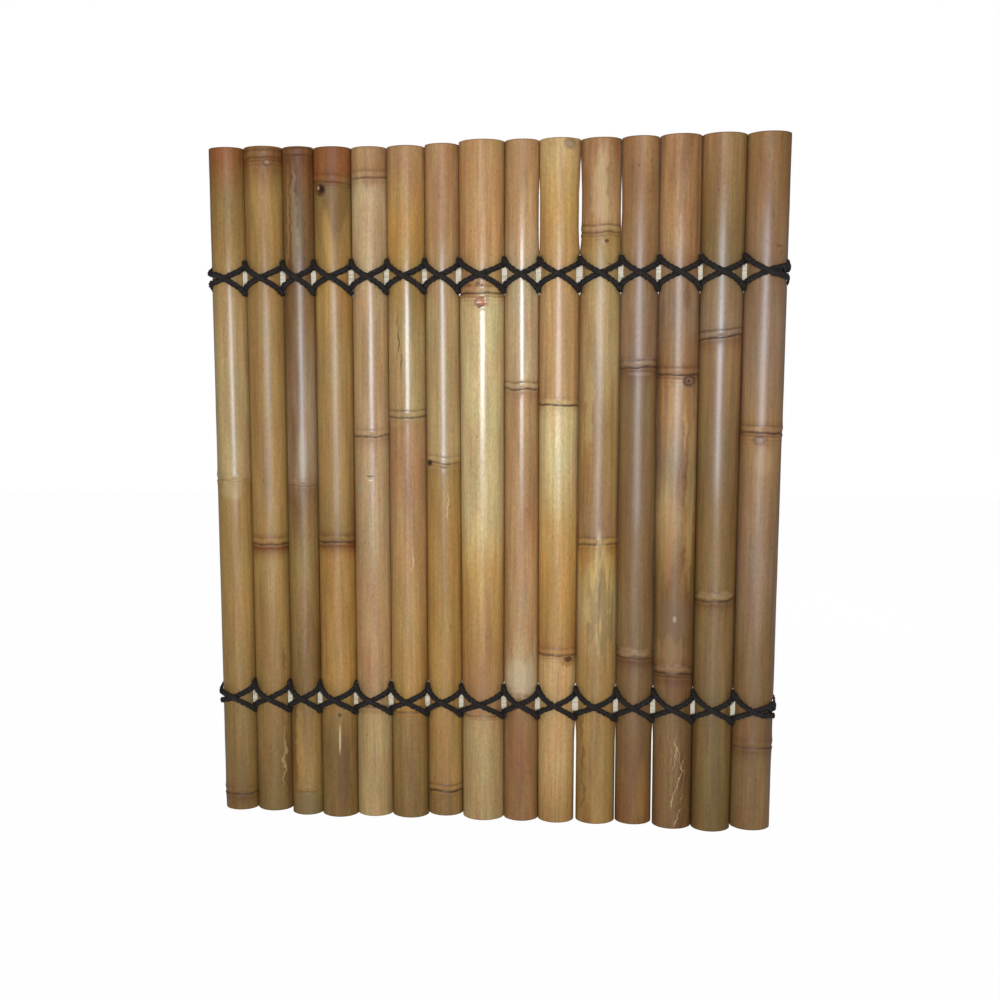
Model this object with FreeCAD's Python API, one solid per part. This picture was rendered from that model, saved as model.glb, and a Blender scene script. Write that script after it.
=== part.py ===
import FreeCAD, Part
import math
import os
from collections import namedtuple
from FreeCAD import Vector

# Bamboo fence panel: hollow round culms side by side, threaded on two rods and lashed with fibre rope.
#
# Lengths are in millimetres. The origin is at the bottom centre of the panel's box, +Z is up, the culms
# stand side by side along X, and the front, where the lashings cross, faces -Y.

# Panel
PANEL_HEIGHT = 1000.0
CULM_GAP = 1.2               # least room between two neighbouring culms

# Culm: a hollow bamboo stem, with a membrane inside at every node
CULM_WALL = 6.5
MEMBRANE_THICKNESS = 5.0
MEMBRANE_HOLE = 10.0         # the membranes are pierced, as in poles treated from end to end
NODE_SWELL = 0.7             # how far the ring of a node stands out
NODE_RISE = 6.0              # length of the swelling below the ring
NODE_FALL = 13.0             # length of the swelling above the ring
SAW_ALLOWANCE = 25.0         # spare length, sawn off level at both ends

# Rods: sawn square, each pushed through a mortise in every culm
ROD_HEIGHT = 26.0
ROD_DEPTH = 23.0             # from its front face to its back face
ROD_EDGE_RADIUS = 4.0        # its long edges are rubbed round
ROD_CLEARANCE = 0.4          # room all round between a rod and its mortise
ROD_END_INSET = 4.0          # the rod ends stop this far inside the panel's outer faces
UPPER_ROD_BELOW_TOP = 187.0
LOWER_ROD_ABOVE_GROUND = 186.0

# Lashing rope
ROPE_DIAMETER = 7.8
ROPE_EASE = 0.3              # room between the rope and what it lies on
SQUEEZE_EASE = 0.2           # room on each side of a strand that is squeezed flat between two culms
STRAND_EASE = 0.1            # half the room between the two strands that share a groove
INNER_TURN = 4.8             # width of the squeezed turn that lies on the rod
TURN_SPACING = 2.6           # room between that turn and the next one over it
OUTER_TURN = 5.0             # width of the turn over it
HUMP_ANGLE = 24.0            # half the angle over which one strand humps over the other
END_RISE = 16.0              # height of a strand above or below the rod at the panel's outer side
TAIL_RISE = 31.0             # height of a rope's tucked end above or below the rod
TAIL_WIDTH = 5.0
TAIL_DEPTH = 9.0             # how far a tucked end reaches into the gap
WRAP_CORNERS = 4             # corners of the rope's route round the outer half of an end culm
ARC_SHARE = 0.45             # share of a run that the arc at its end takes up

# Knot
KNOT_RADIUS = 7.2
KNOT_WAIST = 5.2
KNOT_TURNS = 3

# The culms from left to right, as they were picked: diameter at the foot and at the head, room to the
# next culm above the least gap at the foot and at the head, height of the sawn foot above the ground,
# depth of the sawn head below the panel's top, and the heights of the nodes.
Culm = namedtuple("Culm", "foot head foot_room head_room lift drop nodes")
CULMS = [
    Culm(51.7, 51.9, 0.0, 0.0, 5.0, 2.0, (29.0, 516.0)),
    Culm(53.5, 55.6, 0.0, 0.6, 6.0, 2.0, (420.0, 981.0)),
    Culm(46.6, 44.8, 0.0, 0.0, 0.0, 3.0, (34.0, 508.0, 984.0)),
    Culm(54.8, 53.8, 0.5, 0.9, 0.0, 5.0, (424.0, 945.0)),
    Culm(52.0, 50.4, 1.8, 0.0, 3.0, 6.0, (173.0, 582.0, 950.0)),
    Culm(53.6, 54.2, 0.5, 0.0, 3.0, 6.0, (166.0, 610.0)),
    Culm(51.5, 47.1, 0.5, 1.9, 8.0, 4.0, (45.0, 543.0)),
    Culm(60.1, 63.7, 2.3, 0.5, 4.5, 1.0, (164.0, 786.0)),
    Culm(49.3, 47.7, 0.5, 0.5, 4.0, 1.0, (197.0, 650.0)),
    Culm(53.0, 55.8, 2.3, 2.9, 4.0, 1.0, (260.0, 627.0)),
    Culm(57.8, 54.4, 0.3, 1.1, 5.0, 2.0, (426.0, 868.0)),
    Culm(53.4, 51.2, 1.1, 0.1, 6.0, 1.0, (258.0, 680.0)),
    Culm(56.8, 56.9, 0.0, 0.0, 2.0, 0.0, (236.0, 670.0)),
    Culm(55.8, 60.3, 0.9, 0.3, 0.0, 0.0, (346.0, 722.0)),
    Culm(57.1, 59.6, 0.0, 0.0, 4.5, 0.0, (128.0, 588.0)),
]

# Sizes that follow from the ones above
ROPE_RADIUS = ROPE_DIAMETER / 2
INNER_TURN_LOW = ROD_HEIGHT / 2 + SQUEEZE_EASE
INNER_TURN_HIGH = INNER_TURN_LOW + INNER_TURN
OUTER_TURN_LOW = INNER_TURN_HIGH + TURN_SPACING
OUTER_TURN_HIGH = OUTER_TURN_LOW + OUTER_TURN
LASHING_REACH = TAIL_RISE + ROPE_DIAMETER
HUMP_LIFT = ROPE_DIAMETER + ROPE_EASE
KNOT_LIFT = KNOT_RADIUS - ROPE_RADIUS
KNOT_LENGTH = KNOT_TURNS * ROPE_DIAMETER
ROD_HEIGHTS = {"upper": PANEL_HEIGHT - UPPER_ROD_BELOW_TOP, "lower": LOWER_ROD_ABOVE_GROUND}
FIRST = 0
LAST = len(CULMS) - 1


def stand_in_row(diameters, rooms):
    """Centres of round culms set side by side, with the middle of the row at 0."""
    centres = []
    edge = 0.0
    for diameter, room in zip(diameters, rooms):
        centres.append(edge + diameter / 2)
        edge += diameter + CULM_GAP + room
    width = edge - CULM_GAP - rooms[-1]
    return [centre - width / 2 for centre in centres]


FOOT_X = stand_in_row([culm.foot for culm in CULMS], [culm.foot_room for culm in CULMS])
HEAD_X = stand_in_row([culm.head for culm in CULMS], [culm.head_room for culm in CULMS])


def culm_x(index, height):
    """X of a culm's axis at a height: a culm may lean a little between its neighbours."""
    return FOOT_X[index] + (HEAD_X[index] - FOOT_X[index]) * height / PANEL_HEIGHT


def kept_nodes(index):
    """Nodes whose membrane lies whole between the culm's sawn ends."""
    culm = CULMS[index]
    low = culm.lift + MEMBRANE_THICKNESS / 2
    high = PANEL_HEIGHT - culm.drop - MEMBRANE_THICKNESS / 2
    return [node for node in culm.nodes if low < node < high]


def culm_radius(index, height):
    """Radius of the straight stretch of culm at a height. The culm changes size only at its nodes."""
    culm = CULMS[index]
    ends = [0.0] + kept_nodes(index) + [PANEL_HEIGHT]
    above = min(max(1, sum(end <= height for end in ends)), len(ends) - 1)
    middle = (ends[above - 1] + ends[above]) / 2
    return (culm.foot + (culm.head - culm.foot) * middle / PANEL_HEIGHT) / 2


def ring_radius(index, node):
    """Radius of the ring that stands out at a node."""
    return max(culm_radius(index, node - NODE_RISE), culm_radius(index, node + NODE_FALL)) + NODE_SWELL


def lashed_radius(index, height):
    """Radius under a lashing, or of the ring of any node that the lashing lies on."""
    for node in kept_nodes(index):
        if node + NODE_FALL > height - LASHING_REACH and node - NODE_RISE < height + LASHING_REACH:
            return ring_radius(index, node)
    return culm_radius(index, height)


def culm_section(index):
    """Half of a culm cut open along its axis: outer face up, inner face with the membranes down."""
    bottom = -SAW_ALLOWANCE
    top = PANEL_HEIGHT + SAW_ALLOWANCE
    outer = [(culm_radius(index, bottom), bottom)]
    inner = [(culm_radius(index, bottom) - CULM_WALL, bottom)]
    for node in kept_nodes(index):
        radius_below = culm_radius(index, node - NODE_RISE)
        radius_above = culm_radius(index, node + NODE_FALL)
        outer.append((radius_below, node - NODE_RISE))
        outer.append((ring_radius(index, node), node))
        outer.append((radius_above, node + NODE_FALL))
        below = node - MEMBRANE_THICKNESS / 2
        above = node + MEMBRANE_THICKNESS / 2
        inner += [(radius_below - CULM_WALL, below), (MEMBRANE_HOLE / 2, below)]
        inner += [(MEMBRANE_HOLE / 2, above), (radius_above - CULM_WALL, above)]
    outer.append((culm_radius(index, top), top))
    inner.append((culm_radius(index, top) - CULM_WALL, top))
    corners = [Vector(radius, 0, height) for radius, height in outer + inner[::-1]]
    return Part.Face(Part.makePolygon(corners + corners[:1]))


def make_culm(index):
    """A culm turned about its axis, leant to its place, sawn level and mortised for the rods."""
    culm = CULMS[index]
    solid = culm_section(index).revolve(Vector(0, 0, 0), Vector(0, 0, 1), 360)
    lean = math.degrees(math.atan2(HEAD_X[index] - FOOT_X[index], PANEL_HEIGHT))
    solid.rotate(Vector(0, 0, 0), Vector(0, 1, 0), lean)
    solid.translate(Vector(FOOT_X[index], 0, 0))
    side = 2 * (culm.foot + culm.head)
    length = PANEL_HEIGHT - culm.drop - culm.lift
    kept = Part.makeBox(side, side, length, Vector(FOOT_X[index] - side / 2, -side / 2, culm.lift))
    solid = solid.common(kept)
    depth = ROD_DEPTH + 2 * ROD_CLEARANCE
    rise = ROD_HEIGHT + 2 * ROD_CLEARANCE
    for height in ROD_HEIGHTS.values():
        corner = Vector(FOOT_X[index] - side / 2, -depth / 2, height - rise / 2)
        solid = solid.cut(Part.makeBox(side, depth, rise, corner))
    return solid.Solids[0]


def make_rod(height):
    """A rod through all the culms. It lies on the floor of its mortises."""
    left = culm_x(FIRST, height) - culm_radius(FIRST, height) + ROD_END_INSET
    right = culm_x(LAST, height) + culm_radius(LAST, height) - ROD_END_INSET
    corner = Vector(left, -ROD_DEPTH / 2, height - ROD_CLEARANCE - ROD_HEIGHT / 2)
    rod = Part.makeBox(right - left, ROD_DEPTH, ROD_HEIGHT, corner)
    long_edges = [edge for edge in rod.Edges if edge.BoundBox.XLength > ROD_HEIGHT]
    return rod.makeFillet(ROD_EDGE_RADIUS, long_edges)


class Lashing:
    """Places along one lashing: where its rope runs on each culm and in each gap between two culms."""

    def __init__(self, height):
        self.axis = height - ROD_CLEARANCE
        self.x = [culm_x(index, height) for index in range(len(CULMS))]
        self.radius = [lashed_radius(index, height) for index in range(len(CULMS))]
        self.rope = [radius + ROPE_RADIUS + ROPE_EASE for radius in self.radius]
        self.gaps = [self.gap(index) for index in range(LAST)]

    def gap(self, index):
        """Middle and width of the gap after a culm, and the depth of the groove that holds the rope."""
        low = self.x[index] + self.radius[index]
        high = self.x[index + 1] - self.radius[index + 1]
        middle = (low + high) / 2
        depths = [math.sqrt(self.rope[side] ** 2 - (middle - self.x[side]) ** 2) for side in (index, index + 1)]
        return middle, high - low, max(depths)

    def groove_angle(self, culm, gap):
        """Angle of a gap's groove round a culm, from the front."""
        middle, _, depth = self.gaps[gap]
        return math.atan2(abs(middle - self.x[culm]), depth)

    def point(self, culm, side, angle, radius, rise):
        """A point beside a culm. The angle runs from the front towards the right if side is 1."""
        x = self.x[culm] + side * radius * math.sin(angle)
        return Vector(x, -radius * math.cos(angle), self.axis + rise)


def front_corners(reach, start, end, humped, lift):
    """Angles and radii of the route's two corners on the front of a culm."""
    if humped:
        angle = math.radians(HUMP_ANGLE)
        radius = (reach + HUMP_LIFT + lift) / math.cos(angle)
        return [(-angle, radius), (angle, radius)]
    step = (end - start) / 2
    radius = reach / math.cos(step / 2)
    return [(start + step / 2, radius), (end - step / 2, radius + lift)]


def inner_route(lashing, culm, slope, humped, rise):
    """Route of a strand over a culm that has a neighbour on each side."""
    left = -lashing.groove_angle(culm, culm - 1)
    right = lashing.groove_angle(culm, culm)
    points = [Vector(lashing.gaps[culm - 1][0], -lashing.gaps[culm - 1][2], lashing.axis - slope * rise)]
    for angle, radius in front_corners(lashing.rope[culm], left, right, humped, 0.0):
        height = rise * (2 * (angle - left) / (right - left) - 1)
        points.append(lashing.point(culm, 1, angle, radius, slope * height))
    points.append(Vector(lashing.gaps[culm][0], -lashing.gaps[culm][2], lashing.axis + slope * rise))
    return points


def end_route(lashing, culm, slope, humped, rise, lift):
    """Route of a strand over an end culm, round its outer side and back into the gap from behind."""
    gap = min(culm, LAST - 1)
    side = -1 if culm == FIRST else 1
    middle, _, depth = lashing.gaps[gap]
    reach = lashing.rope[culm]
    groove = lashing.groove_angle(culm, gap)
    step = math.pi / WRAP_CORNERS
    corners = front_corners(reach, -groove, groove, humped, lift)
    for corner in range(WRAP_CORNERS):
        extra = lift if corner == 0 else 0.0
        corners.append((groove + (corner + 0.5) * step, reach / math.cos(step / 2) + extra))
    outermost = math.pi / 2
    tail = math.pi + groove
    points = [Vector(middle, -depth, lashing.axis - side * slope * rise)]
    for angle, radius in corners:
        if angle < outermost:
            height = END_RISE * angle / outermost
        else:
            height = END_RISE + (TAIL_RISE - END_RISE) * (angle - outermost) / (tail - outermost)
        points.append(lashing.point(culm, side, angle, radius, side * slope * height))
    points.append(Vector(middle, depth, lashing.axis + side * slope * TAIL_RISE))
    return points


def rope_tube(points):
    """A round rope along straight runs, joined by arcs as large as the runs leave room for."""
    edges = []
    start = points[0]
    length = 0.0
    for before, corner, after in zip(points, points[1:], points[2:]):
        inward = (corner - before).normalize()
        outward = (after - corner).normalize()
        half_turn = inward.getAngle(outward) / 2
        tangent = ARC_SHARE * min((corner - before).Length, (after - corner).Length)
        bend = tangent / math.tan(half_turn)
        first = corner - inward * tangent
        last = corner + outward * tangent
        middle = corner + (outward - inward).normalize() * bend * (1 / math.cos(half_turn) - 1)
        edges.append(Part.LineSegment(start, first).toShape())
        edges.append(Part.Arc(first, middle, last).toShape())
        length += (first - start).Length + 2 * half_turn * bend
        start = last
    edges.append(Part.LineSegment(start, points[-1]).toShape())
    length += (points[-1] - start).Length
    heading = points[1] - points[0]
    section = Part.Wire([Part.Circle(points[0], heading, ROPE_RADIUS).toShape()])
    tube = Part.Wire(edges).makePipeShell([section], True, False)
    wanted = math.pi * ROPE_RADIUS ** 2 * length
    if abs(tube.Volume / wanted - 1) > 0.01:
        print("rope tube volume", round(tube.Volume), "wanted", round(wanted))
    return tube


def rod_turn(lashing, gap, low, high):
    """A strand squeezed flat between two culms: in over the rod, down behind it and out below it."""
    middle, room, depth = lashing.gaps[gap]
    thickness = room - 2 * SQUEEZE_EASE
    x = middle - thickness / 2
    back = low + (ROD_DEPTH - ROD_HEIGHT) / 2
    far = back + high - low
    bend = (high - low) * math.sqrt(0.5)
    corners = [(-depth, high), (back, high), (back + bend, low + bend), (far, low)]
    corners += [(y, -rise) for y, rise in corners[::-1]]
    corners += [(-depth, -low), (back, -low), (back, low), (-depth, low)]
    at = [Vector(x, y, lashing.axis + rise) for y, rise in corners]
    edges = [Part.makeLine(at[0], at[1]), Part.Arc(at[1], at[2], at[3]).toShape(), Part.makeLine(at[3], at[4])]
    edges += [Part.Arc(at[4], at[5], at[6]).toShape()]
    edges += [Part.makeLine(first, last) for first, last in zip(at[6:], at[7:] + at[:1])]
    return Part.Face(Part.Wire(edges)).extrude(Vector(thickness, 0, 0))


def tucked_tail(lashing, culm, slope):
    """The rope's end, pushed flat into the gap from behind."""
    gap = min(culm, LAST - 1)
    side = -1 if culm == FIRST else 1
    middle, room, depth = lashing.gaps[gap]
    thickness = room - 2 * SQUEEZE_EASE
    height = lashing.axis + side * slope * TAIL_RISE - TAIL_WIDTH / 2
    corner = Vector(middle - thickness / 2, depth - TAIL_DEPTH, height)
    return Part.makeBox(thickness, TAIL_DEPTH, TAIL_WIDTH, corner)


def barrel_knot(centre, heading):
    """A knot of a few turns, rounded like the rope, about a strand that runs through it."""
    edges = []
    for turn in range(KNOT_TURNS):
        start = turn * ROPE_DIAMETER
        first = Vector(KNOT_WAIST, 0, start)
        crown = Vector(KNOT_RADIUS, 0, start + ROPE_RADIUS)
        last = Vector(KNOT_WAIST, 0, start + ROPE_DIAMETER)
        edges.append(Part.Arc(first, crown, last).toShape())
    edges.append(Part.makeLine(Vector(KNOT_WAIST, 0, KNOT_LENGTH), Vector(0, 0, KNOT_LENGTH)))
    edges.append(Part.makeLine(Vector(0, 0, KNOT_LENGTH), Vector(0, 0, 0)))
    edges.append(Part.makeLine(Vector(0, 0, 0), Vector(KNOT_WAIST, 0, 0)))
    knot = Part.Face(Part.Wire(edges)).revolve(Vector(0, 0, 0), Vector(0, 0, 1), 360)
    knot.translate(Vector(0, 0, -KNOT_LENGTH / 2))
    knot.Placement = FreeCAD.Placement(centre, FreeCAD.Rotation(Vector(0, 0, 1), heading)).multiply(knot.Placement)
    return knot


def between_gaps(lashing, culm, tube):
    """A strand on one culm, kept out of the half of each groove that the other strand takes."""
    reach = 2 * LASHING_REACH
    left = lashing.x[culm] - reach
    right = lashing.x[culm] + reach
    if culm != FIRST:
        left = lashing.gaps[culm - 1][0] + STRAND_EASE
    if culm != LAST:
        right = lashing.gaps[culm][0] - STRAND_EASE
    room = Part.makeBox(right - left, 4 * reach, 2 * reach, Vector(left, -2 * reach, lashing.axis - reach))
    return tube.common(room)


def make_strand(lashing, slope):
    """One strand of a lashing. The falling strand humps over the rising one on every culm."""
    humped = slope < 0
    low, high = (OUTER_TURN_LOW, OUTER_TURN_HIGH) if humped else (INNER_TURN_LOW, INNER_TURN_HIGH)
    rise = (low + high) / 2
    pieces = [rod_turn(lashing, gap, low, high) for gap in range(LAST)]
    for culm in range(len(CULMS)):
        if culm in (FIRST, LAST):
            lift = KNOT_LIFT if culm == LAST else 0.0
            route = end_route(lashing, culm, slope, humped, rise, lift)
            pieces.append(tucked_tail(lashing, culm, slope))
        else:
            route = inner_route(lashing, culm, slope, humped, rise)
        pieces.append(between_gaps(lashing, culm, rope_tube(route)))
        if culm == LAST and not humped:
            pieces.append(barrel_knot((route[2] + route[3]) / 2, route[3] - route[2]))
    return pieces[0].multiFuse(pieces[1:])


def make_panel():
    """Every piece of the panel by name, with the axes of the culms in the plane y = 0."""
    pieces = {}
    for index in range(len(CULMS)):
        pieces["pole_%02d" % (index + 1)] = make_culm(index)
    for name, height in ROD_HEIGHTS.items():
        pieces[name + "_rod"] = make_rod(height)
        lashing = Lashing(height)
        pieces[name + "_lashing_rise"] = make_strand(lashing, 1)
        pieces[name + "_lashing_fall"] = make_strand(lashing, -1)
    return pieces


def main():
    """Set the origin at the bottom centre of the panel's box and write each piece."""
    pieces = make_panel()
    box = FreeCAD.BoundBox()
    for shape in pieces.values():
        box.add(shape.optimalBoundingBox(False))
    os.makedirs("parts", exist_ok=True)
    for name, shape in pieces.items():
        shape.translate(Vector(-box.Center.x, -box.Center.y, -box.ZMin))
        shape.exportStep("parts/" + name + ".step")
        print(name, len(shape.Solids), "solid", round(shape.Volume / 1000, 1), "cm3", shape.isValid())
    print("panel", [round(size, 1) for size in (box.XLength, box.YLength, box.ZLength)])


main()
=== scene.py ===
# %% [markdown]
# # Bamboo fence panel
#
# Fifteen bamboo culms stand side by side, threaded on two pale rods. At each rod a black fibre rope is
# lashed over the culms and round the rod in every gap. The CAD frame gives every place and size in
# metres, and this lesson dresses it: turned culms, rods, rope and a varnish that shows the bamboo.

import bpy
import bmesh
import math
import random
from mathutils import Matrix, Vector, noise


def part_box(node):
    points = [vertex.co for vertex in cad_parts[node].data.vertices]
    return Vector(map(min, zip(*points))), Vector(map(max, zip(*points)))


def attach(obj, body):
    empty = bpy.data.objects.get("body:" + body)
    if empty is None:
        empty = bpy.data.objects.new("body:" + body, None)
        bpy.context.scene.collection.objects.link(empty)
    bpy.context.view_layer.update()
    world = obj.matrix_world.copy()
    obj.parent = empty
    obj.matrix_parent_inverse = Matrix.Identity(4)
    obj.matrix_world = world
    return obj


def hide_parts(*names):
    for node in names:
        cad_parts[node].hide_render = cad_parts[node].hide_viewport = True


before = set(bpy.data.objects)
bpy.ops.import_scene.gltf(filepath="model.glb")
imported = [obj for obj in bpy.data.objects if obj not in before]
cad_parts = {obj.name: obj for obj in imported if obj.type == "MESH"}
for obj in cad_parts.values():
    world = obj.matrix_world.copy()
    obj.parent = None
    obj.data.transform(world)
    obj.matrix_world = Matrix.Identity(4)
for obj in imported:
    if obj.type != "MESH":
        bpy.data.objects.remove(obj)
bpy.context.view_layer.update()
MM = 0.001

# %% [markdown]
# ## The row of culms
#
# Each culm was picked for its size, so each has its own diameters, sawn ends and nodes. They are written
# here in millimetres, as a maker would note them, and the frame says where the row stands.

# %% Culms as picked
# foot and head diameter, extra room to the next culm at the foot and at the head, height of the sawn foot,
# depth of the sawn head below the top, heights of the nodes
CULMS = [
    (51.7, 51.9, 0.0, 0.0, 5.0, 2.0, (29.0, 516.0)),
    (53.5, 55.6, 0.0, 0.6, 6.0, 2.0, (420.0, 981.0)),
    (46.6, 44.8, 0.0, 0.0, 0.0, 3.0, (34.0, 508.0, 984.0)),
    (54.8, 53.8, 0.5, 0.9, 0.0, 5.0, (424.0, 945.0)),
    (52.0, 50.4, 1.8, 0.0, 3.0, 6.0, (173.0, 582.0, 950.0)),
    (53.6, 54.2, 0.5, 0.0, 3.0, 6.0, (166.0, 610.0)),
    (51.5, 47.1, 0.5, 1.9, 8.0, 4.0, (45.0, 543.0)),
    (60.1, 63.7, 2.3, 0.5, 4.5, 1.0, (164.0, 786.0)),
    (49.3, 47.7, 0.5, 0.5, 4.0, 1.0, (197.0, 650.0)),
    (53.0, 55.8, 2.3, 2.9, 4.0, 1.0, (260.0, 627.0)),
    (57.8, 54.4, 0.3, 1.1, 5.0, 2.0, (426.0, 868.0)),
    (53.4, 51.2, 1.1, 0.1, 6.0, 1.0, (258.0, 680.0)),
    (56.8, 56.9, 0.0, 0.0, 2.0, 0.0, (236.0, 670.0)),
    (55.8, 60.3, 0.9, 0.3, 0.0, 0.0, (346.0, 722.0)),
    (57.1, 59.6, 0.0, 0.0, 4.5, 0.0, (128.0, 588.0)),
]
PANEL_HEIGHT = 1000.0
CULM_GAP = 1.2
CULM_WALL = 6.5
MEMBRANE = 5.0
MEMBRANE_HOLE = 5.0
LAST = len(CULMS) - 1


def row_centres(column):
    """X of the culms' centres at the foot (column 0) or at the head (column 1), from the row's middle."""
    edge = 0.0
    centres = []
    for culm in CULMS:
        centres.append(edge + culm[column] / 2)
        edge += culm[column] + CULM_GAP + culm[column + 2]
    width = edge - CULM_GAP - CULMS[-1][column + 2]
    return [centre - width / 2 for centre in centres]


FOOT_X = row_centres(0)
HEAD_X = row_centres(1)
low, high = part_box("pole_04")
ROW_X = (low.x + high.x) / 2 / MM - (FOOT_X[3] + HEAD_X[3]) / 2
ROW_Y = (low.y + high.y) / 2 / MM


def culm_x(index, height):
    """X of a culm's axis at a height, because a culm may lean a little."""
    return ROW_X + FOOT_X[index] + (HEAD_X[index] - FOOT_X[index]) * height / PANEL_HEIGHT


def culm_radius(index, height):
    """Radius of the internode at a height. A culm changes size only at its nodes."""
    foot, head, _, _, _, _, nodes = CULMS[index]
    ends = (0.0,) + nodes + (PANEL_HEIGHT,)
    above = min(max(1, sum(end <= height for end in ends)), len(ends) - 1)
    middle = (ends[above - 1] + ends[above]) / 2
    return (foot + (head - foot) * middle / PANEL_HEIGHT) / 2


ROD_HEIGHT = 26.0
ROD_DEPTH = 23.0
ROD_CLEARANCE = 0.4
ROD_LEVEL = {}
for row in ("upper", "lower"):
    low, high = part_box(row + "_rod")
    ROD_LEVEL[row] = (low.z + high.z) / 2 / MM
    print(row, "rod at", round(ROD_LEVEL[row], 2), "mm")
print("row middle", round(ROW_X, 2), round(ROW_Y, 2), "mm")
for index in (0, 7, LAST):
    low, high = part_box("pole_%02d" % (index + 1))
    off = culm_x(index, PANEL_HEIGHT / 2) - (low.x + high.x) / 2 / MM
    print("culm", index + 1, "stands", round(off, 2), "mm off its solid")

# %% [markdown]
# ## Camera
#
# The photograph looks down a little from the right of the middle, from about two metres. Vertical edges
# stay nearly upright in it, so the lens is shifted rather than tilted further.

# %% Camera
camera_data = bpy.data.cameras.new("photo_camera")
camera_data.sensor_width = 36.0
camera_data.lens = 50.2
camera_data.shift_x = 0.06
camera_data.shift_y = 0.10
camera_data.clip_end = 50.0
camera = bpy.data.objects.new("photo_camera", camera_data)
camera.location = (0.203 + ROW_X * MM, -2.056 + ROW_Y * MM, 0.667)
camera.rotation_euler = (math.radians(90 - 9.04), math.radians(0.20), math.radians(7.75))
bpy.context.collection.objects.link(camera)
bpy.context.scene.camera = camera
print("camera at", [round(value, 3) for value in camera.location])

# %% [markdown]
# ## Colours and nodes
#
# Colours are written as on a paint chart, in sRGB hex. Blender mixes light in linear numbers, so one
# function turns one into the other, and another adds a node with its settings and links.

# %% Helpers for materials


def linear(code):
    """An sRGB hex colour as linear RGBA."""
    parts = [int(code[place:place + 2], 16) / 255 for place in (1, 3, 5)]
    return [part / 12.92 if part <= 0.04045 else ((part + 0.055) / 1.055) ** 2.4 for part in parts] + [1.0]


def add_node(tree, kind, settings):
    """Add a node. A setting is an input's number or name, or a property. A socket as its value is linked."""
    node = tree.nodes.new(kind)
    for name, value in settings.items():
        if isinstance(value, bpy.types.NodeSocket):
            tree.links.new(value, node.inputs[name])
        elif isinstance(name, int) or name in node.inputs:
            node.inputs[name].default_value = value
        else:
            setattr(node, name, value)
    return node


def new_material(name):
    """A node material without nodes, and its tree."""
    material = bpy.data.materials.new(name)
    material.use_nodes = True
    material.node_tree.nodes.clear()
    return material, material.node_tree


def per(millimetres):
    """Scale of a texture whose pattern repeats about once in this many millimetres."""
    return 1.0 / (millimetres * MM)


print("a mid grey is", round(linear("#808080")[0], 3), "in linear light")

# %% [markdown]
# A few nodes come up again and again, so each has a short name: noise drawn out along a fibre, a sum, a
# change of range, one colour over another, and colours along a value.

# %% Nodes that come up most


def drawn_noise(tree, place, size, scale, detail, roughness=0.5, start=0.0):
    """Noise of a size in millimetres, drawn out along an axis whose scale is below 1."""
    drawn = add_node(tree, "ShaderNodeMapping",
                     {"Vector": place, "Scale": scale, "Location": (start, 0.0, 0.0)})
    settings = {"Vector": drawn.outputs[0], "Scale": per(size), "Detail": detail, "Roughness": roughness}
    return add_node(tree, "ShaderNodeTexNoise", settings).outputs[0]


def work_out(tree, operation, *values):
    """What a Math node makes of sockets or numbers."""
    return add_node(tree, "ShaderNodeMath", {"operation": operation, **dict(enumerate(values))}).outputs[0]


def remap(tree, value, low, high, start, end):
    """A value carried from one range to another, and held at its ends."""
    return add_node(tree, "ShaderNodeMapRange", {0: value, 1: low, 2: high, 3: start, 4: end}).outputs[0]


def lay_over(tree, under, over, share, blend="MIX"):
    """One colour laid over another by a share."""
    settings = {"data_type": "RGBA", "blend_type": blend, 0: share, 6: under, 7: over}
    return add_node(tree, "ShaderNodeMix", settings).outputs[2]


def ramp(tree, value, stops):
    """Colours along a value: each stop is a position and a linear colour."""
    node = add_node(tree, "ShaderNodeValToRGB", {0: value})
    elements = node.color_ramp.elements
    while len(elements) < len(stops):
        elements.new(0.5)
    for element, (position, _) in zip(elements, stops):
        element.position = position
    for element, (_, colour) in zip(elements, stops):
        element.color = colour
    return node.outputs[0]


print("noise that repeats once in 4 mm has scale", round(per(4)))

# %% [markdown]
# ## Varnished bamboo
#
# A dry culm is a hard, waxy grass stem under a satin varnish. Its skin shows long fibres up the stem,
# cloudy patches where the sheaths sat, fine specks, and a colour that drifts from straw to rose or olive
# between one internode and the next. The tones are named here as a buyer of poles would sort them.
# Each culm gets its own drift of tones up its height, so no two look alike.

# %% Tones of dry bamboo
TONES = {
    "moss_brown": "#735A30",
    "dark_olive": "#826538",
    "olive": "#90713F",
    "olive_tan": "#9E7B45",
    "khaki": "#AD9061",
    "honey": "#A88042",
    "amber": "#B08546",
    "gold": "#BB9254",
    "straw": "#C4AB7A",
    "pale_straw": "#CBB37E",
    "rose_tan": "#AE895D",
    "rose_straw": "#B99E77",
    "flax": "#BF9A66",
    "rose_cream": "#AF9069",
    "rose_gold": "#B48A5A",
    "rose_sienna": "#A67E55",
    "ash_brown": "#947A5C",
    "rose_brown": "#946F46",
    "rose_grey": "#8C6D52",
    "umber": "#7F613A",
    "cocoa": "#7A5934",
    "chestnut": "#865D31",
    "sienna": "#A67943",
    "russet": "#8A552B",
}
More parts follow.
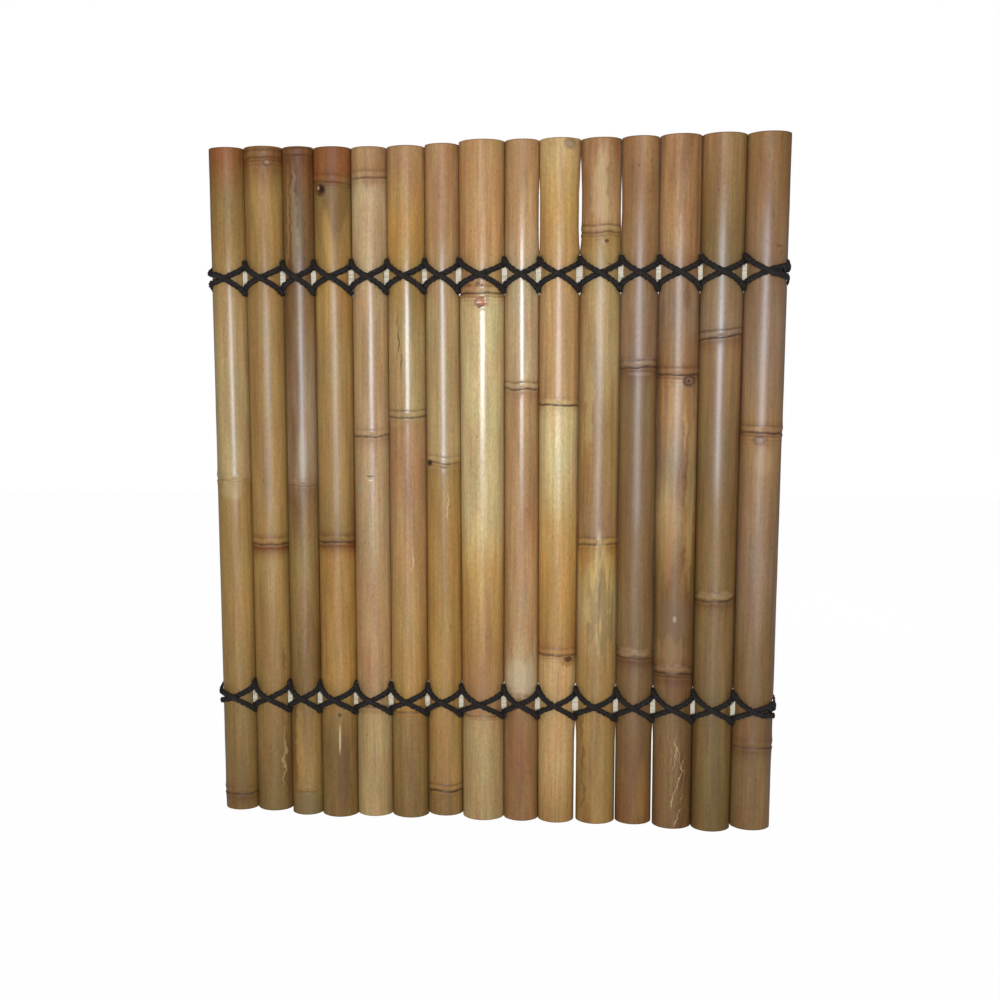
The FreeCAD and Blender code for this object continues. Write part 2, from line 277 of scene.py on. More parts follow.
# height in millimetres and tone, by turns, from the foot up
DRIFT = [
    "0 dark_olive 180 olive 330 olive_tan 505 olive_tan 525 khaki 720 khaki 870 olive_tan 930 olive "
    "985 russet",
    "0 dark_olive 140 olive 320 olive_tan 560 olive_tan 930 olive_tan 975 chestnut",
    "0 olive 60 olive_tan 150 olive 240 dark_olive 400 olive 490 umber 520 ash_brown 640 ash_brown "
    "760 umber 900 cocoa 985 chestnut",
    "0 dark_olive 120 dark_olive 220 honey 418 honey 430 olive 540 olive_tan 700 olive_tan 800 honey "
    "870 olive 938 dark_olive 955 russet",
    "0 khaki 165 khaki 180 rose_tan 330 rose_tan 450 rose_cream 590 rose_cream 700 rose_tan "
    "800 rose_cream 940 rose_straw 955 rose_sienna",
    "0 dark_olive 155 olive 170 honey 500 rose_sienna 600 rose_sienna 606 khaki 720 khaki 780 olive_tan "
    "880 amber 980 rose_sienna",
    "0 dark_olive 42 olive 50 olive_tan 300 honey 535 olive_tan 550 khaki 760 khaki 880 rose_sienna "
    "980 rose_sienna",
    "0 khaki 155 khaki 170 rose_sienna 260 sienna 380 gold 470 straw 560 straw 780 straw 792 rose_gold "
    "900 rose_gold 980 rose_gold",
    "0 rose_brown 185 rose_brown 205 rose_straw 290 rose_tan 400 rose_sienna 520 rose_sienna "
    "640 rose_tan 660 rose_straw 800 rose_straw 900 rose_tan 980 rose_sienna",
    "0 olive_tan 100 flax 250 flax 268 sienna 350 amber 450 gold 540 straw 620 pale_straw 634 rose_gold "
    "780 rose_gold 900 gold 980 flax",
    "0 olive_tan 140 olive_tan 240 olive_tan 330 khaki 400 honey 428 honey 436 rose_brown 560 olive_tan "
    "700 khaki 860 olive_tan 875 rose_tan 980 rose_sienna",
    "0 chestnut 100 cocoa 250 cocoa 265 umber 540 umber 670 umber 690 rose_grey 840 rose_brown "
    "980 rose_sienna",
    "0 cocoa 150 umber 230 cocoa 245 umber 340 umber 400 olive 470 khaki 540 ash_brown 620 rose_tan "
    "680 rose_brown 760 rose_grey 850 rose_sienna 980 rose_sienna",
    "0 moss_brown 150 moss_brown 250 umber 340 dark_olive 350 dark_olive 600 umber 715 rose_brown "
    "730 ash_brown 860 dark_olive 980 rose_brown",
    "0 umber 120 umber 135 cocoa 250 umber 400 rose_grey 580 rose_brown 595 rose_brown 700 rose_grey "
    "980 rose_brown",
]
# how glossy the varnish is, how far its gleam spreads, the heights between which it gleams, and how
# mottled the skin is
GLOSS = [0.6, 0.6, 0.75, 0.55, 0.6, 0.7, 0.85, 0.75, 0.75, 0.45, 0.75, 0.9, 0.6, 0.95, 0.85]
SHEEN_SPREAD = [0.28, 0.4, 0.38, 0.37, 0.28, 0.24, 0.3, 0.21, 0.21, 0.28, 0.4, 0.41, 0.38, 0.35, 0.38]
DULL_BELOW = [480, 470, 500, 480, 480, 608, 540, 470, 470, 470, 430, 470, 560, 510, 604]
DULL_ABOVE = [830, 830, 850, 830, 820, 830, 850, 820, 890, 870, 850, 900, 870, 910, 900]
MOTTLE = [0.3, 0.35, 0.8, 0.45, 0.35, 0.4, 0.35, 0.35, 0.45, 0.3, 0.75, 0.55, 0.8, 0.4, 0.45]

# %% [markdown]
# Some marks are too small for the drift: cut twigs, stains, scratches, peeled strips and pale bloom. A
# few are painted highlights and painted shade. Each is an ellipse with a ragged edge, placed by the
# culm's number, degrees round from the front to the right and height.

# %% Marks on the skin
# culm, degrees, height, half width, half height, turn in degrees, tone, strength, raggedness
MARKS = [
    (1, 4, 504, 18, 18, 0, "#BCA070", 0.35, 2.6),
    (2, 24, 974, 7, 6, 0, "#5E3F24", 0.7, 0.4),
    (2, 24, 975, 3.5, 3, 0, "#A97C4E", 0.7, 0.3),
    (2, 53, 84, 3, 62, 0, "#6A4626", 0.6, 1.0),
    (2, 46, 92, 1.6, 46, 2, "#D0B47E", 0.35, 1.1),
    (2, 52, 246, 3, 22, 0, "#6F4A28", 0.5, 1.0),
    (3, 5, 8, 40, 27, 0, "#74623E", 0.6, 0.5),
    (3, 5, 36, 22, 2.5, 0, "#5E4C2C", 0.45, 0.9),
    (3, -20, 118, 5, 60, 0, "#B08A44", 0.4, 1.0),
    (3, 12, 560, 7, 38, 0, "#A89478", 0.4, 0.9),
    (3, -8, 890, 4, 80, 0, "#948262", 0.4, 1.8),
    (3, 22, 890, 5, 90, 0, "#4C3822", 0.45, 1.8),
    (3, -34, 880, 3, 80, 0, "#A87A42", 0.4, 1.6),
    (4, -28, 935, 9, 10, 0, "#553419", 0.95, 0.4),
    (4, -26, 936, 5, 6, 0, "#24160E", 0.9, 0.3),
    # painted highlight on the rim of culm 4's scar
    (4, -38, 938, 2, 3, 0, "#C49A6C", 0.6, 0.4),
    (4, 34, 905, 9, 42, 10, "#6E4C22", 0.6, 0.5),
    (4, -6, 866, 7, 44, -6, "#BE9448", 0.4, 0.9),
    (4, 11, 161, 3, 3.4, 0, "#3A2414", 0.85, 0.4),
    (4, -4, 176, 17, 16, 0, "#8C5E2A", 0.5, 0.8),
    (4, 11, 122, 1.5, 25, 1, "#D6B882", 0.7, 0.9),
    (4, 24, 70, 9, 60, 0, "#5E4020", 0.45, 1.2),
    (5, 4, 524, 7, 1.4, 0, "#4A3220", 0.75, 0.8),
    # painted glint beside culm 5's kink line
    (5, 4, 518, 4, 1.4, 0, "#E2D2B4", 0.5, 0.8),
    (5, -44, 505, 6, 9, 0, "#8A8058", 0.65, 0.4),
    (6, -18, 722, 1.3, 26, 2, "#473418", 0.75, 1.3),
    (6, -26, 748, 1.0, 15, -3, "#473418", 0.6, 1.2),
    (6, -8, 690, 1.0, 12, 4, "#5A431F", 0.6, 1.2),
    (6, 28, 760, 5, 50, 0, "#7E6A34", 0.4, 1.0),
    (6, 18, 400, 1.6, 18, 0, "#D4AE78", 0.5, 1.0),
    (7, -49, 544, 5.8, 5.6, 0, "#6A4526", 0.9, 0.3),
    # near-black centre: painted shade in the hole of culm 7's scar
    (7, -49, 544, 3.6, 3.6, 0, "#20140D", 0.95, 0.2),
    (7, 20, 480, 1.0, 22, 1, "#D8BC8A", 0.5, 1.2),
    (8, 2, 774, 10, 8.8, 0, "#7E4620", 0.95, 0.5),
    (8, 3, 775, 6, 5, 0, "#AE6C34", 0.9, 0.5),
    (8, -2, 767, 2.4, 1.8, 0, "#4A2814", 0.7, 0.3),
    (8, -8, 800, 1.4, 4, 14, "#4A3220", 0.8, 0.9),
    (8, -2, 801, 1.2, 4, 10, "#4A3220", 0.8, 0.9),
    (8, 5, 797, 1.4, 3, 0, "#4A3220", 0.75, 0.9),
    (8, 22, 796, 6, 1.4, 0, "#8A5A30", 0.6, 0.9),
    (8, -30, 800, 3, 3, 0, "#5A3C22", 0.5, 1.0),
    (8, 0, 210, 20, 40, 0, "#8E5E36", 0.35, 1.0),
    (9, -10, 226, 24, 34, 0, "#C0AE8A", 0.4, 3.0),
    (9, -10, 120, 14, 60, 0, "#8A4E30", 0.35, 0.9),
    (10, 34, 991, 9.5, 9, 0, "#7A5A38", 0.7, 0.9),
    (10, 31, 990, 5.5, 5, 0, "#9C8468", 0.7, 0.9),
    (10, 40, 252, 12, 9, 0, "#94642E", 0.75, 0.9),
    (10, 42, 255, 6, 5, 0, "#3E2614", 0.85, 0.9),
    (11, 19, 857, 3.4, 3, 0, "#4E3018", 0.9, 0.3),
    (11, 2, 930, 12, 60, 0, "#C8AA78", 0.35, 2.8),
    (11, 24, 940, 3, 40, 0, "#7E5C34", 0.4, 1.2),
    (11, -40, 104, 3, 24, 0, "#5E3E20", 0.55, 1.5),
    (11, -36, 54, 2.6, 28, 0, "#5E3E20", 0.5, 1.5),
    (11, -44, 146, 2.6, 18, 0, "#6A4826", 0.5, 1.5),
    (11, 12, 350, 20, 84, 0, "#C6A662", 0.55, 2.0),
    (11, 26, 330, 10, 70, 0, "#5E4422", 0.55, 3.4),
    (11, -12, 320, 9, 60, 0, "#6A4A26", 0.45, 3.4),
    (11, -38, 404, 8, 20, 0, "#9C6832", 0.5, 1.2),
    (11, -30, 620, 5, 60, 0, "#B99A5C", 0.4, 1.2),
    # painted grey highlight just below culm 12's upper node
    (12, 4, 672, 20, 3, 0, "#9C8468", 0.3, 0.9),
    (12, 30, 60, 8, 50, 0, "#9A6A30", 0.4, 0.8),
    (13, 32, 662, 10, 9, 0, "#4A301E", 0.9, 0.3),
    (13, 32, 662, 6, 5.4, 0, "#7E5C3E", 0.85, 0.4),
    (13, 32, 662, 2.2, 2, 0, "#2A1A10", 0.85, 0.3),
    (13, 6, 118, 0.7, 26, 3, "#C4A676", 0.6, 1.2),
    (13, 9, 120, 0.6, 22, -5, "#B4956A", 0.5, 1.2),
    (13, 20, 110, 0.6, 30, -14, "#BD9E70", 0.5, 1.2),
    (13, 27, 92, 0.6, 20, 16, "#BD9E70", 0.5, 1.2),
    (13, 8, 56, 0.8, 24, 13, "#C4A676", 0.6, 1.2),
    (13, 15, 18, 0.7, 16, 14, "#C4A676", 0.6, 1.2),
    (13, 34, 70, 0.5, 44, 3, "#A88A60", 0.45, 1.2),
    (13, -8, 130, 0.5, 36, -2, "#A88A60", 0.35, 1.2),
    (13, 34, 520, 5, 60, 0, "#5E3E22", 0.5, 1.4),
    (13, -20, 440, 9, 70, 0, "#B27A4C", 0.35, 2.4),
    (13, 24, 590, 3, 44, 0, "#C8A670", 0.3, 1.8),
    (13, 25, 406, 2.2, 24, 0, "#74441F", 0.75, 1.2),
    (13, 44, 500, 7, 130, 0, "#B4965A", 0.4, 1.6),
    (13, 4, 316, 28, 34, 0, "#75593C", 0.5, 2.0),
    (13, 0, 319, 3, 5, 0, "#C4AC84", 0.4, 0.9),
    (13, -4, 270, 24, 22, 0, "#A88354", 0.25, 3.4),
    (13, 0, 246, 34, 7, 0, "#A07A52", 0.4, 1.8),
    (12, 0, 268, 34, 6, 0, "#A28058", 0.4, 1.8),
    (14, 0, 355, 36, 6, 0, "#A88658", 0.4, 1.8),
    (12, 0, 688, 34, 5, 0, "#9A7E60", 0.35, 1.8),
    (13, 22, 780, 6, 20, 0, "#6A4426", 0.5, 1.2),
    (13, -6, 900, 2, 46, 0, "#7A5634", 0.4, 1.4),
    (15, -10, 579, 10, 8, 0, "#6A482C", 0.85, 0.6),
    (15, -8, 578, 5, 4.2, 0, "#86623E", 0.8, 0.5),
    (15, -12, 594, 6, 3, 20, "#BE9866", 0.4, 0.9),
    (15, 4, 548, 15, 22, 0, "#A8845A", 0.5, 0.8),
    (15, 30, 847, 7, 0.9, 12, "#56301A", 0.85, 0.7),
    (15, 37, 838, 0.8, 7, 0, "#56301A", 0.75, 0.6),
    (15, 11, 888, 0.8, 14, -8, "#66391E", 0.6, 0.8),
]
print(len(MARKS), "marks")

# %% [markdown]
# A mark could be painted on a picture, but a Mapping node needs none. It brings the ellipse to the middle of
# a unit ball, and the distance from there, made ragged by noise, is the mark's mask.

# %% One mark over a colour
# in metres, as the Mapping node takes it
MARK_DEPTH = 0.02


def add_mark(tree, place, ragged, under, mark):
    """Lay one mark over a colour, and give the new colour."""
    culm, degrees, level, wide, tall, turn, tone, strength, rough = mark
    reach = culm_radius(culm - 1, level)
    x = culm_x(culm - 1, level) + reach * math.sin(math.radians(degrees))
    y = ROW_Y - reach * math.cos(math.radians(degrees))
    centred = add_node(tree, "ShaderNodeMapping",
                       {"vector_type": "TEXTURE", "Vector": place, "Location": (x * MM, y * MM, level * MM),
                        "Rotation": (0.0, math.radians(turn), 0.0),
                        "Scale": (wide * MM, MARK_DEPTH, tall * MM)})
    away = add_node(tree, "ShaderNodeVectorMath", {"operation": "LENGTH", 0: centred.outputs[0]})
    edge = work_out(tree, "MULTIPLY_ADD", ragged, rough, away.outputs["Value"])
    mask = remap(tree, edge, 0.7 + 0.5 * rough, 1.1 + 0.5 * rough, strength, 0.0)
    return lay_over(tree, under, linear(tone), mask)


print("the widest mark is", 2 * max(mark[3] for mark in MARKS), "mm across")

# %% [markdown]
# The finish is built up as the eye meets it, from noise rather than from pictures, so that it holds at any
# distance. First come the drift of tones, warm and cool blotches, clouds, fibres, grain and specks.

# %% Colour of the skin


def stem_noises(tree, place):
    """Clouds, fibres, stripes and grain along the stem, which colour, gloss and relief share."""
    clouds = drawn_noise(tree, place, 34, (1.0, 1.0, 0.12), 5.0, 0.6)
    fibres = drawn_noise(tree, place, 4.2, (1.0, 1.0, 0.028), 3.0, 0.62)
    stripes = drawn_noise(tree, place, 11, (1.0, 1.0, 0.09), 4.0, 0.6)
    grain = drawn_noise(tree, place, 2.6, (1.0, 1.0, 0.45), 3.0, 0.7)
    return clouds, fibres, stripes, grain


def skin_colour(tree, place, height, index, noises):
    """The colour of a culm's skin before its nodes and marks."""
    clouds, fibres, stripes, grain = noises

    # tones drift up the stem, with an edge that wanders a little
    wander = work_out(tree, "MULTIPLY_ADD", clouds, 0.06, -0.03)
    drifted = work_out(tree, "ADD", height, wander)
    words = DRIFT[index].split()
    stops = [(int(level) * MM, linear(TONES[tone])) for level, tone in zip(words[::2], words[1::2])]
    colour = ramp(tree, drifted, stops)

    # blotches about 50 mm long that lean to orange or to green, and darker clouds
    blotches = drawn_noise(tree, place, 26, (1.0, 1.0, 0.4), 3.0, start=0.37 * index)
    hue = ramp(tree, blotches, [(0.34, linear("#FFF0E0")), (0.66, linear("#FAFFEE"))])
    colour = lay_over(tree, colour, hue, 0.8, "MULTIPLY")
    patch = remap(tree, clouds, 0.42, 0.68, 0.0, MOTTLE[index])
    colour = lay_over(tree, colour, linear("#BC9265"), patch, "MULTIPLY")

    # streaks about 4 mm wide and 150 mm long, coarser than real fibres so that they show, and broad stripes
    fine = remap(tree, fibres, 0.3, 0.7, 0.84, 1.12)
    broad = remap(tree, stripes, 0.32, 0.68, 0.86, 1.12)
    colour = lay_over(tree, colour, work_out(tree, "MULTIPLY", fine, broad), 1.0, "MULTIPLY")

    # dusty grain about 3 mm across, and specks of 1.5 mm where insects and rubbing marked the skin
    colour = lay_over(tree, colour, remap(tree, grain, 0.3, 0.7, 0.85, 1.17), 1.0, "MULTIPLY")
    drawn = add_node(tree, "ShaderNodeMapping", {"Vector": place, "Scale": (1.0, 1.0, 0.45)})
    cells = add_node(tree, "ShaderNodeTexVoronoi", {"Vector": drawn.outputs[0], "Scale": per(11)})
    near = remap(tree, cells.outputs["Distance"], 0.06, 0.13, 1.0, 0.0)
    chosen = remap(tree, clouds, 0.5, 0.62, 0.0, 0.6)
    return lay_over(tree, colour, linear("#4A3220"), work_out(tree, "MULTIPLY", near, chosen))


print(len(TONES), "tones for", len(DRIFT), "culms")

# %% [markdown]
# Over the skin lie each node's brown band and the dark line above its lip, then the marks, and last the wood
# that the saw laid bare. Layers on the mesh say where the nodes and the cuts are.

# %% Nodes, marks and sawn ends
SKIN_LAYERS = ("node_band", "node_groove", "bare_wood")
SWIRL = 0.016


def marked_colour(tree, place, index, colour, stripes, grain):
    """A culm's colour with its nodes, marks and sawn ends laid over the skin."""
    band, groove, bare = [add_node(tree, "ShaderNodeAttribute", {"attribute_name": name}).outputs["Fac"]
                          for name in SKIN_LAYERS]
    colour = lay_over(tree, colour, linear("#B07A4C"), band, "MULTIPLY")
    worn = add_node(tree, "ShaderNodeTexNoise",
                    {"Vector": place, "Scale": per(13), "Detail": 4.0, "Roughness": 0.7})
    rough = remap(tree, worn.outputs[0], 0.34, 0.58, 0.5, 1.0)
    line = add_node(tree, "ShaderNodeMath", {"operation": "MULTIPLY", "use_clamp": True, 0: groove, 1: rough})
    colour = lay_over(tree, colour, linear("#3F2614"), line.outputs[0])

    # ragged marks are bent by a swirl
    swirl = add_node(tree, "ShaderNodeTexNoise", {"Vector": place, "Scale": per(16), "Detail": 3.0})
    crooked = add_node(tree, "ShaderNodeVectorMath", {"operation": "MULTIPLY_ADD", 0: swirl.outputs["Color"],
                                                      1: (SWIRL, 0.0, SWIRL), 2: place})
    shifted = add_node(tree, "ShaderNodeVectorMath", {"operation": "SUBTRACT", 0: crooked.outputs[0],
                                                      1: (SWIRL / 2, 0.0, SWIRL / 2)})
    for mark in MARKS:
        if mark[0] == index + 1:
            path, ragged = (shifted.outputs[0], stripes) if mark[8] >= 1.0 else (place, grain)
            colour = add_mark(tree, path, ragged, colour, mark)
    pores = add_node(tree, "ShaderNodeTexVoronoi", {"Vector": place, "Scale": per(1.4)}).outputs["Distance"]
    end_grain = ramp(tree, pores, [(0.12, linear("#7A5A36")), (0.4, linear("#C9AC78"))])
    return lay_over(tree, colour, end_grain, bare)


print("layers on the skin:", SKIN_LAYERS)

# %% [markdown]
# A satin coat on top gives the long gleams. The varnish sinks a little into streaks and clouds, so its gloss
# breaks up along the stem, and towards both ends it is dull.

# %% Varnished bamboo


def varnished_bamboo(index):
    """Satin varnish over bamboo skin: streaks and clouds along the stem, dark node lines, pale sawn ends."""
    material, tree = new_material("varnished_bamboo_%02d" % (index + 1))
    place = add_node(tree, "ShaderNodeTexCoord", {}).outputs["Object"]
    height = add_node(tree, "ShaderNodeSeparateXYZ", {0: place}).outputs["Z"]
    noises = stem_noises(tree, place)
    clouds, fibres, stripes, grain = noises
    colour = skin_colour(tree, place, height, index, noises)
    colour = marked_colour(tree, place, index, colour, stripes, grain)
    gloss = remap(tree, clouds, 0.3, 0.7, 0.48, 0.6)
    below = DULL_BELOW[index] * MM
    above = DULL_ABOVE[index] * MM
    shares = ((0.0, 0.15), (below - 0.03, 0.36), (below + 0.01, 1.0),
              (above - 0.05, 1.0), (above + 0.03, 0.12))
    shine = ramp(tree, height, [(level, (share, share, share, 1.0)) for level, share in shares])
    patchy = remap(tree, stripes, 0.32, 0.62, GLOSS[index], 0.7 * GLOSS[index])
    coat = work_out(tree, "MULTIPLY", shine, patchy)
    ribs = work_out(tree, "MULTIPLY_ADD", fibres, 0.5, clouds)
    relief = work_out(tree, "MULTIPLY_ADD", grain, 0.35, ribs)
    bump = add_node(tree, "ShaderNodeBump", {"Height": relief, "Strength": 0.12, "Distance": 0.0005})
    shader = add_node(tree, "ShaderNodeBsdfPrincipled",
                      {"Base Color": colour, "Roughness": gloss, "Normal": bump.outputs[0], "IOR": 1.45,
                       "Specular IOR Level": 0.35, "Coat Weight": coat, "Coat IOR": 1.5,
                       "Coat Roughness": SHEEN_SPREAD[index], "Coat Normal": bump.outputs[0]})
    add_node(tree, "ShaderNodeOutputMaterial", {0: shader.outputs[0]})
    return material


print("gloss from", min(GLOSS), "to", max(GLOSS))

# %% [markdown]
# ## Branch scars
#
# Where a twig was cut off, a node keeps an eye-shaped scar: a raised rim with a hollow in it. The places
# are noted as the culm's number, degrees round from the front to the right, height, half width and depth.
# The skin is pushed out round each one, and the marks above give it its tones, with a painted highlight
# on one rim and painted shade in one hollow.

# %% Scars
SCARS = [
    (2, 24.0, 974.0, 7.0, 0.5),
    (4, -28.0, 935.0, 9.0, 1.0),
    (5, -44.0, 505.0, 7.0, -0.8),
    (7, -49.0, 544.0, 6.0, 1.0),
    (8, 2.0, 774.0, 10.0, 0.5),
    (10, 34.0, 989.0, 9.0, 0.5),
    (10, 41.0, 253.0, 9.0, 0.5),
    (11, 19.0, 857.0, 4.0, 0.6),
    (13, 32.0, 662.0, 10.0, 0.9),
    (15, -10.0, 580.0, 9.0, 0.1),
]
SKIN_DEPTH = 3.0


def push_scar(bm, index, degrees, level, width, depth):
    """Raise a scar's rim on the skin and sink its hollow."""
    radius = culm_radius(index, level)
    heading = Vector((math.sin(math.radians(degrees)), -math.cos(math.radians(degrees)), 0.0))
    for vertex in bm.verts:
        flat = Vector((vertex.co.x, vertex.co.y, 0.0))
        if flat.length < radius - SKIN_DEPTH or abs(vertex.co.z - level) > 2.5 * width:
            continue
        across = flat.angle(heading) * radius / width
        up = (vertex.co.z - level) / (0.85 * width)
        reach = math.hypot(across, up)
        rim = math.exp(-((reach - 0.85) / 0.4) ** 2)
        hollow = math.exp(-(reach / 0.5) ** 2)
        vertex.co += flat.normalized() * (0.7 * min(1.0, 2 * abs(depth)) * rim - 1.6 * depth * hollow)


print(len(SCARS), "scars")

# %% [markdown]
# ## A culm
#
# A culm is a hollow stem, closed at each node by a membrane. Outside, the node has the thin lip that the
# leaf sheath left, a groove just above it and a rounded ridge above that. No two nodes look alike, so each
# has its own strengths and slant.

# %% Node outline
# height above the sheath's lip, how far out, brown band, dark line, second line: in millimetres or shares
NODE_OUTLINE = [
    (-26.0, 0.0, 0.0, 0.0, 0.0),
    (-16.0, 0.05, 0.25, 0.0, 0.0),
    (-9.0, 0.2, 0.6, 0.0, 0.0),
    (-4.5, 0.5, 1.0, 0.0, 0.0),
    (-2.4, 0.8, 0.6, 0.0, 0.0),
    (-1.2, 0.95, 0.2, 0.2, 0.0),
    (-0.2, 0.75, 0.4, 0.75, 0.0),
    (0.8, 0.0, 0.6, 1.0, 0.0),
    (2.0, -0.2, 0.5, 0.75, 0.0),
    (3.6, 0.15, 0.3, 0.1, 0.0),
    (6.0, 0.7, 0.1, 0.0, 0.0),
    (8.5, 0.95, 0.1, 0.0, 0.0),
    (10.2, 0.8, 0.4, 0.0, 0.7),
    (11.6, 0.5, 0.6, 0.0, 0.5),
    (13.4, 0.35, 0.4, 0.0, 0.0),
    (19.0, 0.1, 0.1, 0.0, 0.0),
    (30.0, 0.0, 0.0, 0.0, 0.0),
]
# node by node for each culm: how dark its line is, how brown its band, the second line, and how far it
# slants to the right
NODE_LOOK = [
    [(0.9, 0.4, 0.0, 0.0), (0.15, 0.1, 0.1, 0.0)],
    [(0.85, 1.0, 0.0, -0.6), (0.35, 0.6, 0.5, 1.5)],
    [(0.1, 0.0, 0.0, 0.0), (0.25, 0.2, 0.0, 0.0), (0.4, 0.4, 0.2, 0.0)],
    [(1.0, 0.9, 0.0, 0.0), (0.5, 0.4, 0.2, -2.0)],
    [(0.55, 0.3, 0.0, 0.0), (0.85, 0.3, 0.2, 0.6), (0.7, 0.4, 0.3, 0.5)],
    [(0.6, 0.2, 0.3, 0.0), (0.85, 0.2, 0.8, 0.0)],
    [(1.0, 0.3, 0.8, 0.0), (0.6, 0.3, 0.5, -1.0)],
    [(0.45, 0.2, 0.0, 0.0), (0.85, 0.6, 0.1, 0.0)],
    [(0.35, 0.4, 0.2, 0.0), (0.85, 0.4, 0.7, -1.0)],
    [(0.9, 0.4, 0.3, 0.0), (1.0, 0.2, 0.1, -0.8)],
    [(1.0, 0.5, 0.6, 0.5), (0.6, 0.4, 0.9, 0.0)],
    [(0.8, 0.6, 0.8, -1.0), (1.0, 0.6, 1.0, 0.8)],
    [(1.0, 0.7, 0.9, -1.0), (0.9, 0.6, 0.5, 0.0)],
    [(0.9, 0.5, 0.8, 1.5), (1.0, 0.5, 0.9, 4.0)],
    [(0.6, 0.4, 0.0, -0.5), (0.85, 0.6, 0.4, -1.5)],
]
print(sum(len(looks) for looks in NODE_LOOK), "nodes")

# %% [markdown]
# All of a culm is round, so one outline is drawn from the foot to the head outside and back down inside, to
# be spun about the axis. Its points carry how brown the node is, where its line is and where wood is bare.

# %% Outline of a culm
# in millimetres: rows above and below a rod's middle, room round each kind of row, and the sawn edge
MORTISE_ROWS = (23.5, 25.5, 27.2, 29.0, 34.0, 44.0)
SCAR_ROOM = 0.8
MORTISE_ROOM = 1.0
ROW_ROOM = 9.0
ROW_STEP = 25.0
ARRIS = 1.5


def clamp(share):
    """A share held between none and all."""
    return min(1.0, max(0.0, share))


def culm_outline(index):
    """Points (radius, height, band, line, bare) up the outside of a culm and down its inside."""
    bottom, drop, nodes = CULMS[index][4:]
    top = PANEL_HEIGHT - drop
    outside = []
    for node, (dark, brown, second, _) in zip(nodes, NODE_LOOK[index]):
        for rise, out, band, line, upper in NODE_OUTLINE:
            level = node + rise
            if bottom + ARRIS < level < top - ARRIS:
                share = clamp((rise + 7.0) / 20.0)
                base = culm_radius(index, node - 1.0) * (1 - share) + culm_radius(index, node + 1.0) * share
                outside.append((base + out, level, band * brown, line * dark + upper * second, 0.0))

    # more rows at scars, above and below the mortises and along the internodes, each clear of the others
    rows = [(level + step * width / 5, SCAR_ROOM) for culm, _, level, width, _ in SCARS
            if culm == index + 1 for step in range(-7, 8)]
    rows += [(middle + side * away, MORTISE_ROOM) for middle in ROD_LEVEL.values()
             for side in (-1, 1) for away in MORTISE_ROWS]
    for count in range(int(PANEL_HEIGHT / ROW_STEP)):
        level = count * ROW_STEP
        if not any(NODE_OUTLINE[0][0] < level - node < NODE_OUTLINE[-1][0] for node in nodes):
            rows.append((level, ROW_ROOM))
    for level, room in rows:
        if bottom + 2 * ARRIS < level < top - 2 * ARRIS and all(abs(level - at[1]) > room for at in outside):
            outside.append((culm_radius(index, level), level, 0.0, 0.0, 0.0))
    outside.sort(key=lambda point: point[1])

    # the sawn ends have a small arris, and inside are the wall and the membranes
    foot = culm_radius(index, bottom)
    head = culm_radius(index, top)
    start = [(foot - 0.5, bottom, 0.5, 0.0, 1.0), (foot - 0.02, bottom + 0.5, 0.8, 0.0, 0.0),
             (foot, bottom + ARRIS, 0.0, 0.0, 0.0)]
    finish = [(head, top - ARRIS, 0.0, 0.0, 0.0), (head - 0.02, top - 0.5, 0.8, 0.0, 0.0),
              (head - 0.5, top, 0.5, 0.0, 1.0)]
    within = [(foot - CULM_WALL, bottom)]
    for node in nodes:
        if bottom + MEMBRANE < node < top - MEMBRANE:
            below = culm_radius(index, node - 1.0) - CULM_WALL
            above = culm_radius(index, node + 1.0) - CULM_WALL
            within += [(below, node - MEMBRANE / 2), (MEMBRANE_HOLE, node - MEMBRANE / 2)]
            within += [(MEMBRANE_HOLE, node + MEMBRANE / 2), (above, node + MEMBRANE / 2)]
    within.append((head - CULM_WALL, top))
    return start + outside + finish + [(radius, level, 0.0, 0.0, 1.0) for radius, level in reversed(within)]


print("culm 5 has", len(culm_outline(4)), "points in its outline")

# %% [markdown]
# ## Turning, leaning and mortising
#
# Every piece is a bmesh in millimetres first, and then an object in metres.

# %% Pieces from meshes


def mesh_object(bm, name):
    """A bmesh as a linked mesh object."""
    mesh = bpy.data.meshes.new(name)
    bm.to_mesh(mesh)
    bm.free()
    made = bpy.data.objects.new(name, mesh)
    bpy.context.collection.objects.link(made)
    return made


def finish_mesh(bm, name, material, nodes):
    """Turn a bmesh in millimetres into a piece that rides on the panel and replaces solids."""
    bmesh.ops.scale(bm, vec=(MM, MM, MM), verts=bm.verts)
    piece = mesh_object(bm, name)
    piece.data.materials.append(material)
    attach(piece, "root")
    for node in nodes:
        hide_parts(node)
    return piece


print("pieces are scaled by", MM)

# %% [markdown]
# A maker chops a square hole through both walls of a culm for each rod. A Boolean with two square bits does
# the same, once the culm is in its place.

# %% Mortises
BIT_LENGTH = 120.0


def mortise_bits(index):
    """Two square bits along X at the rods' heights, as one mesh object."""
    bm = bmesh.new()
    size = (BIT_LENGTH, ROD_DEPTH + 2 * ROD_CLEARANCE, ROD_HEIGHT + 2 * ROD_CLEARANCE)
    for level in ROD_LEVEL.values():
        made = bmesh.ops.create_cube(bm, size=1.0)
        bmesh.ops.scale(bm, verts=made["verts"], vec=size)
        place = (culm_x(index, level), ROW_Y, level + ROD_CLEARANCE)
        bmesh.ops.translate(bm, verts=made["verts"], vec=place)
    bmesh.ops.scale(bm, vec=(MM, MM, MM), verts=bm.verts)
    return mesh_object(bm, "mortise_bits")


